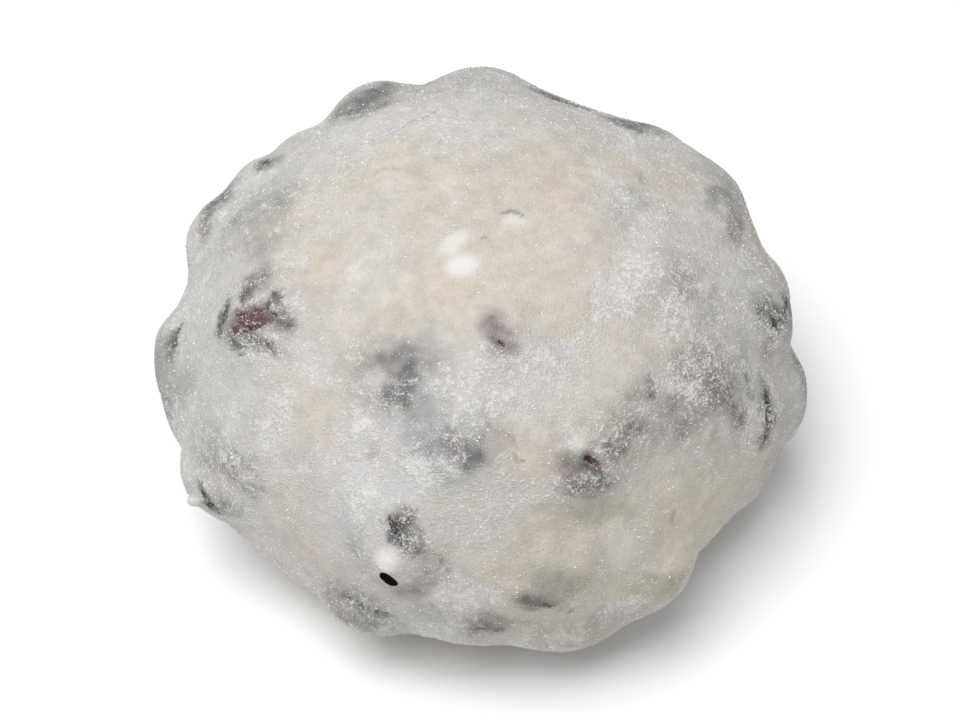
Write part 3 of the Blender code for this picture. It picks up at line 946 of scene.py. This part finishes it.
# ---------------------------------------------------------------- the pieces
def add_dough(dough):
    points = keep_in_box(dough.points.copy())
    points[dough.points[:, 2] < 1e-7, 2] = 0.0
    points[:, 2] = np.maximum(points[:, 2], 0.0)
    piece = new_piece("dusted_mochi", points, dough.faces, dough_material(dough.hole), ("mochi",))
    add_attribute(piece.data, "under", dough.under)
    add_attribute(piece.data, "dust", dough.dust)
    add_attribute(piece.data, "packed", dough.packed)


def add_beans(dough):
    rays, faces = cube_net(24)
    for name, bean in dough.shown.items():
        x, y, z = rays.T
        swell = 0.985 + 0.012 * layered(rays + bean.half[0] * 1000.0, 0.5, 7)
        shape = np.stack((x, y + BEAN_BEND * bean.half[0] / bean.half[1] * x * x, z), axis=1) * swell[:, None]
        points = bean.centre + (shape * bean.half) @ bean.axes
        skin = SHOWN_BEANS[name][5]
        new_piece(name + "_skin", points, faces, bean_material(name + "_skin", skin), (name,))


def add_grains(dough, count):
    """Loose starch: four-sided grains strewn over the dough, thickest where it is dustiest."""
    rng = np.random.RandomState(5)
    corners = dough.points[dough.faces]
    normals = np.cross(corners[:, 2] - corners[:, 0], corners[:, 3] - corners[:, 1])
    areas = np.linalg.norm(normals, axis=1)
    normals /= np.maximum(areas, 1e-15)[:, None]
    normals *= np.sign(np.einsum("ij,ij->i", normals, corners.mean(axis=1) - CORE))[:, None]
    thickness = 0.20 + np.clip(dough.dust[dough.faces].mean(axis=1), 0.0, 1.0)
    thickness *= dough.hole.distance(corners.mean(axis=1), *HOLE[2:4]) > 1.3
    weights = areas * thickness * (corners[:, :, 2].min(axis=1) > 0.0002)
    picked = rng.choice(len(areas), count, p=weights / weights.sum())
    across, up = rng.rand(2, count, 1)
    low = corners[picked, 0] * (1.0 - across) + corners[picked, 1] * across
    high = corners[picked, 3] * (1.0 - across) + corners[picked, 2] * across
    radius = np.clip(np.exp(rng.normal(math.log(0.000065), 0.30, count)), 0.00003, 0.00012)[:, None]
    middle = low * (1.0 - up) + high * up + normals[picked] * radius * 0.3
    tips = rng.normal(size=(count, 4, 3))
    tips -= tips.mean(axis=1, keepdims=True)
    tips /= np.linalg.norm(tips, axis=2, keepdims=True)
    points = keep_in_box((middle[:, None] + tips * radius[:, None]).reshape(-1, 3))
    points[:, 2] = np.maximum(points[:, 2], 0.0)
    sides = np.array(((0, 1, 2), (0, 2, 3), (0, 3, 1), (1, 3, 2)))
    # a grain whose corners run the other way round has its faces turned over
    edges = tips[:, 1:] - tips[:, :1]
    flipped = np.einsum("ij,ij->i", edges[:, 0], np.cross(edges[:, 1], edges[:, 2])) > 0.0
    faces = np.where(flipped[:, None, None], sides[:, ::-1], sides) + 4 * np.arange(count)[:, None, None]
    grains = new_piece("starch_grains", points, faces.reshape(-1, 3), starch_material(), ())
    grains.data.shade_flat()


# ---------------------------------------------------------------- floor, light and camera
def add_floor():
    mesh = bpy.data.meshes.new("floor")
    half = 1.5
    mesh.from_pydata([(-half, -half, 0), (half, -half, 0), (half, half, 0), (-half, half, 0)], [], [(0, 1, 2, 3)])
    material = bpy.data.materials.new("pale_floor")
    material.use_nodes = True
    shader = material.node_tree.nodes["Principled BSDF"]
    shader.inputs["Base Color"].default_value = (0.90, 0.90, 0.90, 1.0)
    shader.inputs["Roughness"].default_value = 0.9
    mesh.materials.append(material)
    floor = bpy.data.objects.new("floor", mesh)
    floor.location.z = -0.00002
    bpy.context.scene.collection.objects.link(floor)


def add_light(name, place, size, power):
    """A square soft box that faces the cake."""
    lamp = bpy.data.lights.new(name, "AREA")
    lamp.size = size
    lamp.energy = power
    thing = bpy.data.objects.new(name, lamp)
    thing.location = place
    thing.rotation_mode = "QUATERNION"
    thing.rotation_quaternion = (Vector((0.0, 0.0, 0.015)) - Vector(place)).to_track_quat("-Z", "Y")
    bpy.context.scene.collection.objects.link(thing)


def add_lights():
    world = bpy.data.worlds.new("soft_room")
    world.use_nodes = True
    world.node_tree.nodes["Background"].inputs["Color"].default_value = (1.0, 1.0, 1.0, 1.0)
    world.node_tree.nodes["Background"].inputs["Strength"].default_value = 0.40
    bpy.context.scene.world = world
    add_light("key", (-0.19, -0.11, 0.89), 0.60, 8.4)
    bpy.context.scene.view_settings.view_transform = "Standard"


def add_camera():
    lens = bpy.data.cameras.new("camera")
    lens.lens = 100.0
    lens.sensor_width = 36.0
    lens.clip_start = 0.01
    camera = bpy.data.objects.new("camera", lens)
    elevation = math.radians(54.0)
    back = Vector((0.0, -math.cos(elevation), math.sin(elevation)))
    camera.location = Vector((0.0, 0.0, 0.015)) + back * 0.262
    camera.rotation_mode = "QUATERNION"
    camera.rotation_quaternion = (-back).to_track_quat("-Z", "Y")
    bpy.context.scene.collection.objects.link(camera)
    bpy.context.scene.camera = camera


def main():
    dough = Dough(NET)
    add_dough(dough)
    add_beans(dough)
    add_grains(dough, GRAINS)
    add_floor()
    add_lights()
    add_camera()


main()
